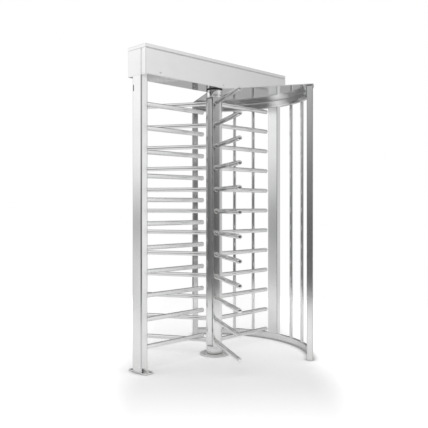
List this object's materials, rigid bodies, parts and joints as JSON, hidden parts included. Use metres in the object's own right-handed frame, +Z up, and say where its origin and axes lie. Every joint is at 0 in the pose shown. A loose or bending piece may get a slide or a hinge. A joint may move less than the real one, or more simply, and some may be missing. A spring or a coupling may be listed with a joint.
{
  "type": "full height turnstile",
  "caption": "Full height security turnstile: a winged rotor of horizontal arms turns between a comb of fixed bars and a curved cage, under a long header box.",
  "frame": {"origin": "the rotor's axis at floor level", "axes": "+Z up along the rotor's axis, +X along the header from the comb post towards the cage, and -Y towards the header's front cover"},
  "size_m": [1.56, 1.358, 2.295],
  "materials": {
    "satin_steel": "satin stainless steel",
    "polished_steel": "polished stainless steel",
    "zinc_steel": "zinc-plated steel",
    "black_rubber": "matt",
    "cast_iron": "dark cast",
    "black_plastic": "matt",
    "board_green": "coated board",
    "smoked_lens": "smoked and glossy"
  },
  "bodies": {
    "frame": {"comb_post": "satin_steel", "status_lens": "smoked_lens", "base_plate": "satin_steel", "anchor_bolt_front": "zinc_steel", "anchor_bolt_rear": "zinc_steel", "comb_bar_01": "satin_steel", "comb_bar_02": "satin_steel", "comb_bar_03": "satin_steel", "comb_bar_04": "satin_steel", "comb_bar_05": "satin_steel", "comb_bar_06": "satin_steel", "comb_bar_07": "satin_steel", "comb_bar_08": "satin_steel", "comb_bar_09": "satin_steel", "comb_bar_10": "satin_steel", "comb_bar_11": "satin_steel", "middle_post": "satin_steel", "front_end_post": "satin_steel", "rear_end_post": "satin_steel", "front_cage_bar_1": "satin_steel", "front_cage_bar_2": "satin_steel", "front_cage_bar_3": "satin_steel", "rear_cage_bar_1": "satin_steel", "rear_cage_bar_2": "satin_steel", "rear_cage_bar_3": "satin_steel", "floor_ring": "satin_steel", "top_ring": "satin_steel", "roof_plate_front": "polished_steel", "roof_plate_rear": "polished_steel", "header_floor": "satin_steel", "header_frame": "satin_steel", "header_lid": "satin_steel", "top_seal_ring": "black_rubber", "floor_flange": "satin_steel", "floor_bearing": "black_rubber", "mechanism_plate": "zinc_steel", "top_bearing_housing": "cast_iron", "top_bearing": "zinc_steel", "damper_body": "cast_iron", "solenoid_left": "black_plastic", "solenoid_right": "black_plastic", "control_board": "board_green"},
    "rotor": {"rotor_column": "satin_steel", "wing_1": "satin_steel", "wing_2": "satin_steel", "wing_3": "satin_steel", "rotor_shaft": "zinc_steel", "top_collar": "polished_steel", "bottom_collar": "polished_steel", "damper_gear": "zinc_steel", "locking_disc": "zinc_steel"},
    "damper_pinion": {"damper_pinion": "zinc_steel"},
    "pawl_left": {"pawl_left": "zinc_steel"},
    "pawl_right": {"pawl_right": "zinc_steel"},
    "plunger_left": {"plunger_left": "zinc_steel"},
    "plunger_right": {"plunger_right": "zinc_steel"},
    "front_cover": {"header_front_cover": "satin_steel", "cover_screw_1": "zinc_steel", "cover_screw_2": "zinc_steel", "cover_screw_3": "zinc_steel"}
  },
  "joints": [
    {"name": "rotor_spin", "type": "hinge", "parent": "frame", "child": "rotor", "pos_m": [0, 0, 0], "axis": [0, 0, 1], "continuous": true},
    {"name": "damper_spin", "type": "hinge", "parent": "frame", "child": "damper_pinion", "pos_m": [0.1003, 0, 2.15], "axis": [0, 0, 1], "continuous": true},
    {"name": "pawl_left_swing", "type": "hinge", "parent": "frame", "child": "pawl_left", "pos_m": [-0.082, -0.046, 2.1826], "axis": [0, 0, -1], "range_deg": [0, 14], "stiffness_Nm_per_rad": 0.4, "springref_deg": -5.73},
    {"name": "pawl_right_swing", "type": "hinge", "parent": "frame", "child": "pawl_right", "pos_m": [0.082, -0.046, 2.1826], "axis": [0, 0, 1], "range_deg": [0, 14], "stiffness_Nm_per_rad": 0.4, "springref_deg": -5.73},
    {"name": "plunger_left_slide", "type": "slide", "parent": "frame", "child": "plunger_left", "axis": [-1, 0, 0], "range_m": [0, 0.0079]},
    {"name": "plunger_right_slide", "type": "slide", "parent": "frame", "child": "plunger_right", "axis": [1, 0, 0], "range_m": [0, 0.0079]},
    {"name": "cover_hinge", "type": "hinge", "parent": "frame", "child": "front_cover", "pos_m": [0, -0.0967, 2.267], "axis": [-1, 0, 0], "range_deg": [0, 80]}
  ],
  "couplings": [
    {"joint": "damper_spin", "follows": "rotor_spin", "ratio": -4},
    {"joint": "plunger_left_slide", "follows": "pawl_left_swing", "m_per_rad": 0.032},
    {"joint": "plunger_right_slide", "follows": "pawl_right_swing", "m_per_rad": 0.032}
  ]
}
